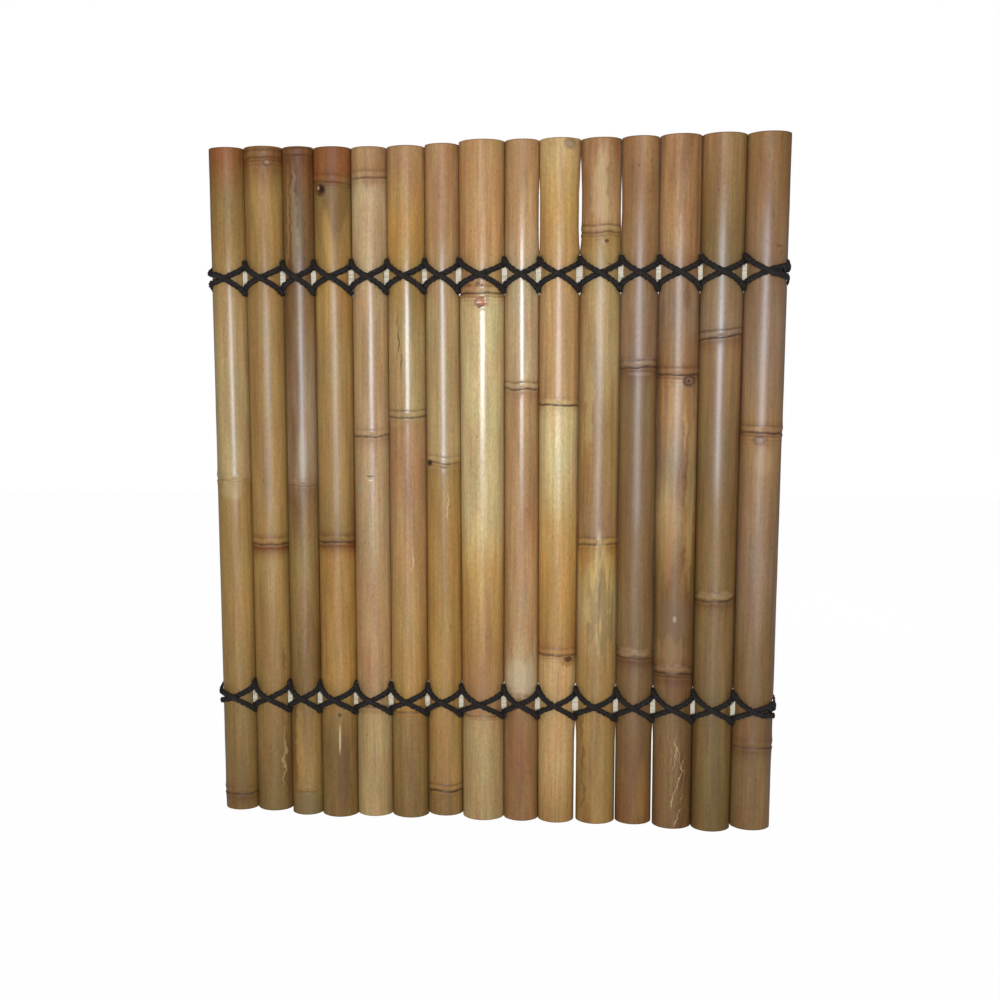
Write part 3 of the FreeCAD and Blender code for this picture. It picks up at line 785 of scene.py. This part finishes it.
def mortise(piece, index):
    """Cut the rods' mortises through a culm and keep the cut mesh."""
    bits = mortise_bits(index)
    cut = piece.modifiers.new("mortise", "BOOLEAN")
    cut.operation = "DIFFERENCE"
    cut.solver = "EXACT"
    cut.object = bits
    pierced = bpy.data.meshes.new_from_object(piece.evaluated_get(bpy.context.evaluated_depsgraph_get()))
    piece.modifiers.clear()
    whole = piece.data
    piece.data = pierced
    pierced.name = piece.name
    bpy.data.meshes.remove(whole)
    bpy.data.objects.remove(bits)


print("mortises", ROD_DEPTH + 2 * ROD_CLEARANCE, "by", ROD_HEIGHT + 2 * ROD_CLEARANCE, "mm")

# %% [markdown]
# Culms that are pulled together press on each other until they touch, except beside the rope and in a few
# gaps that stay open. Their nodes slant and ripple a little, because a stem grows so.

# %% Gaps and slants
# gaps that stay open away from the lashings: gap's number, from height, to height, room
OPEN_GAPS = [(8, 846, 948, 1.5), (9, 846, 960, 3.9), (10, 872, 940, 1.4), (9, -40, 156, 3.0),
             (10, -40, 150, 0.8), (11, -40, 156, 1.9)]
# how far above and below a rod its lashing holds the culms apart
LASHED = 25.0
NODE_REACH = 40.0
RIPPLE = 2.6


def even_radius(index, level):
    """Radius of a culm as if it tapered evenly, so that the middle of a gap runs straight past the nodes."""
    foot, head = CULMS[index][:2]
    return (foot + (head - foot) * level / PANEL_HEIGHT) / 2


def gap_middle(gap, level):
    """X half way between the two skins beside a gap."""
    left = culm_x(gap, level) + even_radius(gap, level)
    right = culm_x(gap + 1, level) - even_radius(gap + 1, level)
    return (left + right) / 2


def press_out(index, level, side, radius):
    """How far a culm's skin of a given radius reaches out to touch its neighbour, away from the lashings."""
    gap = index if side > 0 else index - 1
    if gap < 0 or gap >= LAST:
        return 0.0
    room = 0.0
    for number, start, end, width in OPEN_GAPS:
        if number == gap:
            room = max(room, width * clamp(min(level - start, end - level) / 20.0))
    clear = min(abs(level - height) for height in ROD_LEVEL.values())
    spare = abs(gap_middle(gap, level) - culm_x(index, level)) - room / 2 - radius
    return max(0.0, spare) * clamp((clear - LASHED) / 3.0)


def slant_nodes(bm, index):
    """Slant and ripple the rings of a culm's nodes, away from its sawn ends."""
    lift, drop, nodes = CULMS[index][4:]
    for node, (_, _, _, slant) in zip(nodes, NODE_LOOK[index]):
        radius = culm_radius(index, node)
        for vertex in bm.verts:
            away = vertex.co.z - node
            if abs(away) > NODE_REACH or vertex.co.xy.length < radius - SKIN_DEPTH:
                continue
            ends = min(vertex.co.z - lift, PANEL_HEIGHT - drop - vertex.co.z)
            share = math.exp(-(away / 20.0) ** 2) * clamp(ends / 15.0)
            ripple = RIPPLE * noise.noise(Vector((vertex.co.x * 0.05, vertex.co.y * 0.05, node + index)))
            vertex.co.z += share * (slant * vertex.co.x / radius + ripple)


print(len(OPEN_GAPS), "open stretches")

# %% [markdown]
# The outline is spun in a full turn, and the skin then wavers by a few tenths of a millimetre. A shear leans
# the culm, which keeps its sawn ends level. The mortises are cut last.

# %% Make the culms
SPIN_STEPS = 80
TOUCH = 0.02


def make_culm(index):
    """Spin a culm's outline, waver it, scar it, lean it to its place and mortise it."""
    bm = bmesh.new()
    layers = [bm.verts.layers.float.new(name) for name in SKIN_LAYERS]
    outline = []
    for radius, level, band, line, bare in culm_outline(index):
        vertex = bm.verts.new((radius, 0.0, level))
        for layer, value in zip(layers, (band, line, bare)):
            vertex[layer] = value
        outline.append(vertex)
    edges = [bm.edges.new(pair) for pair in zip(outline, outline[1:] + outline[:1])]
    bmesh.ops.spin(bm, geom=outline + edges, cent=(0, 0, 0), axis=(0, 0, 1), angle=2 * math.pi,
                   steps=SPIN_STEPS, use_merge=True)
    bmesh.ops.recalc_face_normals(bm, faces=bm.faces)
    for vertex in bm.verts:
        spot = vertex.co + Vector((300.0 * index, 0.0, 0.0))
        outward = Vector((vertex.co.x, vertex.co.y, 0.0)).normalized()
        swell = 0.1 + 0.25 * noise.noise(spot * 0.02) + 0.025 * noise.noise(spot * 0.1)
        side = 1 if outward.x > 0 else -1
        swell += press_out(index, vertex.co.z, side, vertex.co.xy.length + swell) * outward.x ** 2
        if vertex[layers[2]] < 0.5:
            vertex.co += outward * swell
    for culm, degrees, level, width, depth in SCARS:
        if culm == index + 1:
            push_scar(bm, index, degrees, level, width, depth)
    slant_nodes(bm, index)
    for vertex in bm.verts:
        vertex.co.x += culm_x(index, vertex.co.z)
        vertex.co.y += ROW_Y
        if index < LAST:
            vertex.co.x = min(vertex.co.x, gap_middle(index, vertex.co.z) - TOUCH)
        if index > 0:
            vertex.co.x = max(vertex.co.x, gap_middle(index - 1, vertex.co.z) + TOUCH)
    for face in bm.faces:
        face.smooth = True
    name = "culm_%02d" % (index + 1)
    piece = finish_mesh(bm, name, varnished_bamboo(index), ["pole_%02d" % (index + 1)])
    mortise(piece, index)
    return piece


culms = [make_culm(index) for index in range(len(CULMS))]
print(len(culms), "culms,", sum(len(culm.data.polygons) for culm in culms), "faces")

# %% [markdown]
# ## Rods
#
# The rods are sawn square from pale wood and seen as short cream strips in the gaps. A rod is a cube drawn
# out to length, with its long edges rubbed round by a bevel and its ends by a smaller one.

# %% Rods
EDGE_ROUND = 4.0
END_ROUND = 0.6


def matt_fibre(name, size, scale, tones, relief, depth, surface):
    """A matt finish of fine fibre, whose noise gives both its two tones and its relief."""
    material, tree = new_material(name)
    place = add_node(tree, "ShaderNodeTexCoord", {}).outputs["Object"]
    grain = drawn_noise(tree, place, size, scale, 4.0)
    tone = ramp(tree, grain, [(position, linear(code)) for position, code in tones])
    bump = add_node(tree, "ShaderNodeBump", {"Height": grain, "Strength": relief, "Distance": depth})
    shader = add_node(tree, "ShaderNodeBsdfPrincipled",
                      {"Base Color": tone, "Normal": bump.outputs[0], **surface})
    add_node(tree, "ShaderNodeOutputMaterial", {0: shader.outputs[0]})
    return material


def make_rod(row, material):
    """A square rod as long as its solid, with rubbed edges."""
    low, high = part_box(row + "_rod")
    bm = bmesh.new()
    bmesh.ops.create_cube(bm, size=1.0)
    bmesh.ops.scale(bm, verts=bm.verts, vec=((high.x - low.x) / MM, ROD_DEPTH, ROD_HEIGHT))
    long_edges = [edge for edge in bm.edges if abs(edge.verts[0].co.x - edge.verts[1].co.x) > 1.0]
    bmesh.ops.bevel(bm, geom=long_edges, offset=EDGE_ROUND, affect="EDGES", segments=5, profile=0.5,
                    material=-1)
    rims = [edge for edge in bm.edges if abs(edge.verts[0].co.x - edge.verts[1].co.x) < 0.01]
    bmesh.ops.bevel(bm, geom=rims, offset=END_ROUND, affect="EDGES", segments=2, profile=0.5, material=-1)
    bmesh.ops.translate(bm, verts=bm.verts, vec=(low + high) / 2 / MM)
    for face in bm.faces:
        face.smooth = len(face.verts) == 4 and face.calc_area() < 5000.0
    return finish_mesh(bm, row + "_square_rod", material, [row + "_rod"])


rod_finish = matt_fibre("pale_sawn_wood", 3.0, (0.05, 1.0, 1.0), ((0.3, "#B8A582"), (0.65, "#DDD1B6")),
                        0.15, 0.0005, {"Roughness": 0.65, "IOR": 1.5})
rods = [make_rod(row, rod_finish) for row in ROD_LEVEL]
print(len(rods), "rods")

# %% [markdown]
# ## Rope
#
# The lashing is a black palm-fibre rope of about 8 mm, three plies twisted together, rough with loose
# ends. Each row has two strands. One climbs over every culm and dives into the next gap over the rod,
# the other falls over it and dives in below, so that they cross on the front of each culm. In a gap the
# rope is squeezed flat, goes round behind the rod and comes out on its other side.
#
# The route is worked out from the culms: points round each one, then points round the rod in the gap.
# They control a NURBS spline, the smooth line that the plies twist about.

# %% Places along a lashing
# lengths in millimetres; a turn round the rod is keyed by the slope of its strand
ROPE_RADIUS = 3.9
ROPE_EASE = 0.3
NODE_SWELL = 0.7
NODE_FOOT = 6.0
NODE_TOP = 13.0
LASHING_REACH = 38.8
TURN_LEVEL = {1: 15.7, -1: 23.2}


def lashed_radius(index, level):
    """Radius under a lashing, or of the ring of a node that the lashing lies on."""
    for node in CULMS[index][6]:
        if node + NODE_TOP > level - LASHING_REACH and node - NODE_FOOT < level + LASHING_REACH:
            return max(culm_radius(index, node - NODE_FOOT), culm_radius(index, node + NODE_TOP)) + NODE_SWELL
    return culm_radius(index, level)


def lashing_gaps(level):
    """For each gap between two culms: its middle, and the depth in front of the row where rope lies in it."""
    gaps = []
    for index in range(LAST):
        left = culm_x(index, level) + lashed_radius(index, level)
        right = culm_x(index + 1, level) - lashed_radius(index + 1, level)
        middle = (left + right) / 2
        depth = 0.0
        for side in (index, index + 1):
            reach = lashed_radius(side, level) + ROPE_RADIUS + ROPE_EASE
            depth = max(depth, math.sqrt(reach ** 2 - (middle - culm_x(side, level)) ** 2))
        gaps.append((middle, depth))
    return gaps


def beside(index, level, degrees, out, rise):
    """A point of the route beside a culm, so many degrees round from the front to the right."""
    reach = lashed_radius(index, level) + ROPE_RADIUS + ROPE_EASE + out
    x = culm_x(index, level) + reach * math.sin(math.radians(degrees))
    return Vector((x, ROW_Y - reach * math.cos(math.radians(degrees)), level + rise))


def in_gap(gap, level, forward, rise):
    """A point of the route in the middle of a gap, so far in front of the row's axis plane."""
    return Vector((gap[0], ROW_Y - forward, level + rise))


# %% [markdown]
# A strand's route over one culm has four points on the front. The falling strand lies over the rising one,
# so its two middle points stand out by most of a rope. At the two end culms the route goes on round the
# outer side and back into the gap from behind, where the end of the rope is tucked away.

# %% Routes
# lengths in millimetres, angles in degrees
END_RISE = 13.0
TAIL_RISE = 31.0
SLACK = 0.9
HUMP = 7.2
END_HUMP = 2.0
TUCK = 4.0
TAIL_SPAN = 154.0
# degrees round from the front, and the share of the hump there
FRONT = ((-42.0, 0.3), (-14.0, 1.0), (14.0, 1.0), (42.0, 0.3))
AROUND = (70.0, 98.0, 126.0, 154.0, 182.0, 212.0)
CROSSING = 66.0


def front_points(index, level, slope):
    """Route points over the front of a culm, from left to right. The falling strand lies over the other."""
    over = 1.0 if slope < 0 else 0.0
    outer = {0: FRONT[0][0], LAST: FRONT[-1][0]}.get(index)
    points = []
    for degrees, share in FRONT:
        out = SLACK + share * HUMP * over
        rise = slope * TURN_LEVEL[slope] * degrees / CROSSING
        if degrees == outer:
            out = SLACK + END_HUMP * over
            rise = slope * END_RISE * degrees / 90.0
        points.append(beside(index, level, degrees, out, rise))
    return points


def wrap_points(index, level, slope, side):
    """Route points from the front of an end culm round its outer side to the gap behind."""
    points = []
    for degrees in AROUND:
        if degrees < 90.0:
            rise = END_RISE * degrees / 90.0
        else:
            rise = END_RISE + (TAIL_RISE - END_RISE) * (degrees - 90.0) / TAIL_SPAN
        points.append(beside(index, level, side * degrees, SLACK, side * slope * rise))
    return points


def strand_route(level, slope):
    """The whole route of one strand from its tucked left end to its tucked right end."""
    gaps = lashing_gaps(level)
    turn = TURN_LEVEL[slope]
    tail = -slope * TAIL_RISE
    left = gaps[0]
    right = gaps[-1]
    route = [in_gap(left, level, TUCK - left[1], tail), in_gap(left, level, -left[1], tail)]
    route += wrap_points(0, level, slope, -1)[::-1]
    for index in range(len(CULMS)):
        route += front_points(index, level, slope)
        if index < LAST:
            depth = gaps[index][1]
            for forward, share in ((depth, 1), (0.0, 1), (-turn, 0.8), (-turn, -0.8), (0.0, -1), (depth, -1)):
                route.append(in_gap(gaps[index], level, forward, slope * turn * share))
    route += wrap_points(LAST, level, slope, 1)
    route += [in_gap(right, level, -right[1], -tail), in_gap(right, level, TUCK - right[1], -tail)]
    return route


print(len(strand_route(ROD_LEVEL["upper"], 1)), "points on a strand's route")

# %% [markdown]
# The spline's own points come from Blender's curve, with no bevel, read back as a mesh. A bevel makes round
# tubes of curves in the same way, and a frame carried along them keeps the plies from twisting by chance.

# %% Splines and tubes


def nurbs_mesh(lines, steps, thickness=0.0, sides=0):
    """A mesh of NURBS lines, whose points have shares of a thickness: tubes, or bare lines if it is 0."""
    curve = bpy.data.curves.new("rope", "CURVE")
    curve.dimensions = "3D"
    curve.bevel_depth = thickness
    curve.bevel_resolution = sides
    curve.use_fill_caps = thickness > 0.0
    for line in lines:
        spline = curve.splines.new("NURBS")
        spline.points.add(len(line) - 1)
        for point, (place, share) in zip(spline.points, line):
            point.co = (place.x, place.y, place.z, 1.0)
            point.radius = share
        spline.order_u = 3
        spline.use_endpoint_u = True
        spline.resolution_u = steps
    carrier = bpy.data.objects.new("rope", curve)
    mesh = bpy.data.meshes.new_from_object(carrier)
    bpy.data.objects.remove(carrier)
    bpy.data.curves.remove(curve)
    return mesh


def spline_points(route, steps):
    """Points along the spline that has the route's points as its control points."""
    mesh = nurbs_mesh([[(place, 1.0) for place in route]], steps)
    places = [vertex.co.copy() for vertex in mesh.vertices]
    bpy.data.meshes.remove(mesh)
    return places


def add_tubes(bm, lines, thickness, sides):
    """Add round tubes along lines of points to a bmesh."""
    mesh = nurbs_mesh(lines, 1, thickness, sides)
    bm.from_mesh(mesh)
    bpy.data.meshes.remove(mesh)


def carried_frames(places):
    """A heading and two crosswise directions at each point, carried along without twisting."""
    frames = []
    across = Vector((0, 0, 1))
    for before, after in zip(places[:1] + places[:-1], places[1:] + places[-1:]):
        heading = (after - before).normalized()
        across = (across - heading * across.dot(heading)).normalized()
        frames.append((heading, across, heading.cross(across)))
    return frames


print(len(spline_points(strand_route(ROD_LEVEL["upper"], 1), 6)), "points along a strand")

# %% [markdown]
# Each ply is a curve of its own that winds round those points, and it is narrower where culms pinch the
# rope. The knot at the right end is a coil about the rising strand.

# %% Plies and knot
# lengths in millimetres, angles in degrees, the rest shares or turns
PLY_RADIUS = 2.4
PLY_OFFSET = 2.05
PLY_PITCH = 26.0
PINCHED = 0.62
PINCH_REACH = 4.0
KNOT_TURNS = 3.6
KNOT_OFFSET = 4.3
KNOT_PLY = 2.8
KNOT_DROP = 0.45
KNOT_FROM = 24.0
KNOT_TO = 80.0


def pinch(place, gaps):
    """Share of its round size that the rope keeps: less where it lies between two culms."""
    for middle, depth in gaps:
        if abs(place.x - middle) < PINCH_REACH:
            return PINCHED + (1.0 - PINCHED) * clamp((ROW_Y - place.y - depth * 0.5) / (depth * 0.5))
    return 1.0


def ply_lines(places, gaps):
    """Three plies that wind round the route's points."""
    lines = [[], [], []]
    length = 0.0
    last = places[0]
    for place, (_, across, other) in zip(places, carried_frames(places)):
        length += (place - last).length
        last = place
        share = pinch(place, gaps) * (1.0 + 0.16 * noise.noise(Vector((length * 0.12, place.z, 0.0))))
        for ply, line in enumerate(lines):
            turn = 2 * math.pi * (length / PLY_PITCH + ply / 3)
            offset = (across * math.cos(turn) + other * math.sin(turn)) * PLY_OFFSET * share
            line.append((place + offset, share))
    return lines


def knot_line(places, level):
    """A coil of a few turns about the strand, on the outer part of the last culm's front."""
    x = culm_x(LAST, level)
    turns = [math.degrees(math.atan2(place.x - x, ROW_Y - place.y)) for place in places]
    kept = [count for count, turn in enumerate(turns) if KNOT_FROM < turn < KNOT_TO]
    frames = carried_frames(places)
    line = []
    for step, count in enumerate(kept):
        turn = 2 * math.pi * KNOT_TURNS * step / len(kept)
        _, across, other = frames[count]
        offset = (across * math.cos(turn) + other * math.sin(turn)) * KNOT_OFFSET
        drop = Vector((0.0, 0.0, -KNOT_DROP * (places[count].z - level)))
        line.append((places[count] + offset + drop, 1.0))
    return line


print("a ply turns once in", PLY_PITCH, "mm")

# %% [markdown]
# Rope gives way where it is pulled tight. Once it is a mesh, its sides are pressed in until they clear both
# culms of a gap, and round the outer sides of the end culms it is pressed flat.

# %% Pressed rope
# a share, degrees round from the front, and millimetres
FLATTENED = 0.62
FLAT_FROM = 48.0
FLAT_TO = 170.0
FLAT_EASE = 30.0
PRESS_CLEAR = 0.15


def flatten_ends(bm, level):
    """Press the rope flat where it is pulled hard round the outer sides of the end culms."""
    for index, side in ((0, -1), (LAST, 1)):
        x = culm_x(index, level)
        radius = lashed_radius(index, level)
        for vertex in bm.verts:
            away = Vector((side * (vertex.co.x - x), ROW_Y - vertex.co.y))
            turn = math.degrees(math.atan2(away.x, away.y))
            if away.x < 0.0 or away.length < radius:
                continue
            share = clamp((turn - FLAT_FROM) / FLAT_EASE) * clamp((FLAT_TO - turn) / FLAT_EASE)
            reach = radius + (away.length - radius) * (1.0 - FLATTENED * share)
            vertex.co.x = x + side * away.x * reach / away.length
            vertex.co.y = ROW_Y - away.y * reach / away.length


def press_between(bm, level):
    """Press rope in from the sides until it clears the culms beside each gap."""
    centres = [(culm_x(index, level), lashed_radius(index, level)) for index in range(len(CULMS))]
    for vertex in bm.verts:
        for x, radius in centres:
            away = Vector((vertex.co.x - x, vertex.co.y - ROW_Y, 0.0))
            short = radius + PRESS_CLEAR - away.length
            if 0.0 < short < radius:
                vertex.co += away.normalized() * short


print("pressed rope keeps", round(1.0 - FLATTENED, 2), "of its thickness at the ends")

# %% [markdown]
# ## Loose fibres
#
# Palm fibre is stiff, so broken ends stand off the rope all along it. Each is a short bent tube that starts
# in the rope and leans out and along it. A fixed seed keeps them the same every time.

# %% Rope finish and strands
FIBRES_PER_POINT = 6
FIBRE_RADIUS = 0.34
LONG_SHARE = 0.006
FRONT_ONLY = 8.0


def loose_fibres(places, chance):
    """Lines for fibres that lean out of the rope where it lies in front of the culms."""
    lines = []
    for place, (heading, across, other) in zip(places, carried_frames(places)):
        if place.y > ROW_Y - FRONT_ONLY:
            continue
        at_end = place.x < culm_x(0, place.z) or place.x > culm_x(LAST, place.z)
        for _ in range(FIBRES_PER_POINT):
            turn = chance.uniform(0.0, 2 * math.pi)
            out = across * math.cos(turn) + other * math.sin(turn)
            out = (out + Vector((0.0, -0.5, 0.0))).normalized()
            along = heading * chance.choice((-1.0, 1.0)) * chance.uniform(0.4, 1.8)
            length = chance.uniform(1.6, 4.4)
            if chance.random() < LONG_SHARE and not at_end:
                length = chance.uniform(9.0, 18.0)
            root = place + out * (ROPE_RADIUS - 0.8)
            middle = root + (along + out * 0.5).normalized() * length * 0.5
            tip = middle + (along * 0.7 + out).normalized() * length * 0.5
            lines.append([(root, 1.0), (middle, 0.8), (tip, 0.3)])
    return lines


def make_strand(row, lay, slope, material, chance):
    """One strand of a lashing: plies, the knot, loose fibres and the press of the culms."""
    level = ROD_LEVEL[row]
    route = strand_route(level, slope)
    places = spline_points(route, 6)
    bm = bmesh.new()
    add_tubes(bm, ply_lines(places, lashing_gaps(level)), PLY_RADIUS, 2)
    if slope > 0:
        add_tubes(bm, [knot_line(spline_points(route, 24), level)], KNOT_PLY, 2)
    press_between(bm, level)
    add_tubes(bm, loose_fibres(places, chance), FIBRE_RADIUS, 0)
    flatten_ends(bm, level)
    for face in bm.faces:
        face.smooth = True
    node = row + "_lashing_" + lay
    return finish_mesh(bm, row + "_rope_" + lay, material, [node])


rope_finish = matt_fibre("black_palm_fibre", 2.2, (1.0, 1.0, 1.0), ((0.35, "#14110F"), (0.7, "#332B25")),
                         0.6, 0.001, {"Roughness": 0.8, "Specular IOR Level": 0.25})
chance = random.Random(15)
strands = []
for row in ROD_LEVEL:
    for lay, slope in (("rise", 1), ("fall", -1)):
        strands.append(make_strand(row, lay, slope, rope_finish, chance))
print(len(strands), "strands,", [len(strand.data.polygons) for strand in strands], "faces")

# %% [markdown]
# ## Floor, backdrop and light
#
# The panel stands on a plain pale floor. A broad soft lamp by the camera gives each culm the long narrow
# gleam of varnish, and a weak pale sky fills the rest.

# %% Floor
floor_bm = bmesh.new()
bmesh.ops.create_grid(floor_bm, x_segments=1, y_segments=1, size=6.0)
floor = mesh_object(floor_bm, "floor")
floor_finish, tree = new_material("pale_floor")
matt = add_node(tree, "ShaderNodeBsdfDiffuse", {"Color": linear("#F4F4F4")})
glow = add_node(tree, "ShaderNodeEmission", {"Color": linear("#FFFFFF"), "Strength": 1.0})
seen = add_node(tree, "ShaderNodeLightPath", {}).outputs["Is Camera Ray"]
share = work_out(tree, "MULTIPLY", seen, 0.985)
mixed = add_node(tree, "ShaderNodeMixShader", {0: share, 1: matt.outputs[0], 2: glow.outputs[0]})
add_node(tree, "ShaderNodeOutputMaterial", {0: mixed.outputs[0]})
floor.data.materials.append(floor_finish)

# %% World and lamps
world = bpy.data.worlds.new("pale_sky")
bpy.context.scene.world = world
world.use_nodes = True
sky = world.node_tree
sky.nodes.clear()
seen = add_node(sky, "ShaderNodeLightPath", {}).outputs["Is Camera Ray"]
strength = remap(sky, seen, 0.0, 1.0, 0.2, 1.0)
light = add_node(sky, "ShaderNodeBackground", {"Color": linear("#FFFFFF"), "Strength": strength})
add_node(sky, "ShaderNodeOutputWorld", {0: light.outputs[0]})


def soft_lamp(name, place, target, width, depth, power):
    """A rectangular soft lamp that faces a point."""
    lamp_data = bpy.data.lights.new(name, "AREA")
    lamp_data.shape = "RECTANGLE"
    lamp_data.size = width
    lamp_data.size_y = depth
    lamp_data.energy = power
    lamp_data.color = linear("#E6F0FF")[:3]
    lamp = bpy.data.objects.new(name, lamp_data)
    lamp.location = place
    lamp.rotation_euler = (Vector(target) - Vector(place)).to_track_quat("-Z", "Y").to_euler()
    bpy.context.collection.objects.link(lamp)


soft_lamp("lamp_behind_camera", (0.2, -2.7, 0.8), (0.2, 0.0, 0.8), 0.9, 0.6, 69.0)
soft_lamp("lamp_overhead", (-0.6, -1.6, 2.6), (0.0, 0.0, 0.5), 1.6, 1.6, 8.0)
soft_lamp("lamp_behind_panel", (0.4, 2.6, 1.6), (0.0, 0.0, 0.5), 1.6, 1.2, 40.0)

# %% [markdown]
# ## Finish
#
# The render keeps colours plain, with the Standard view transform. The dressed panel must stay
# as large as its solids.

# %% Finish
scene = bpy.context.scene
scene.view_settings.view_transform = "Standard"
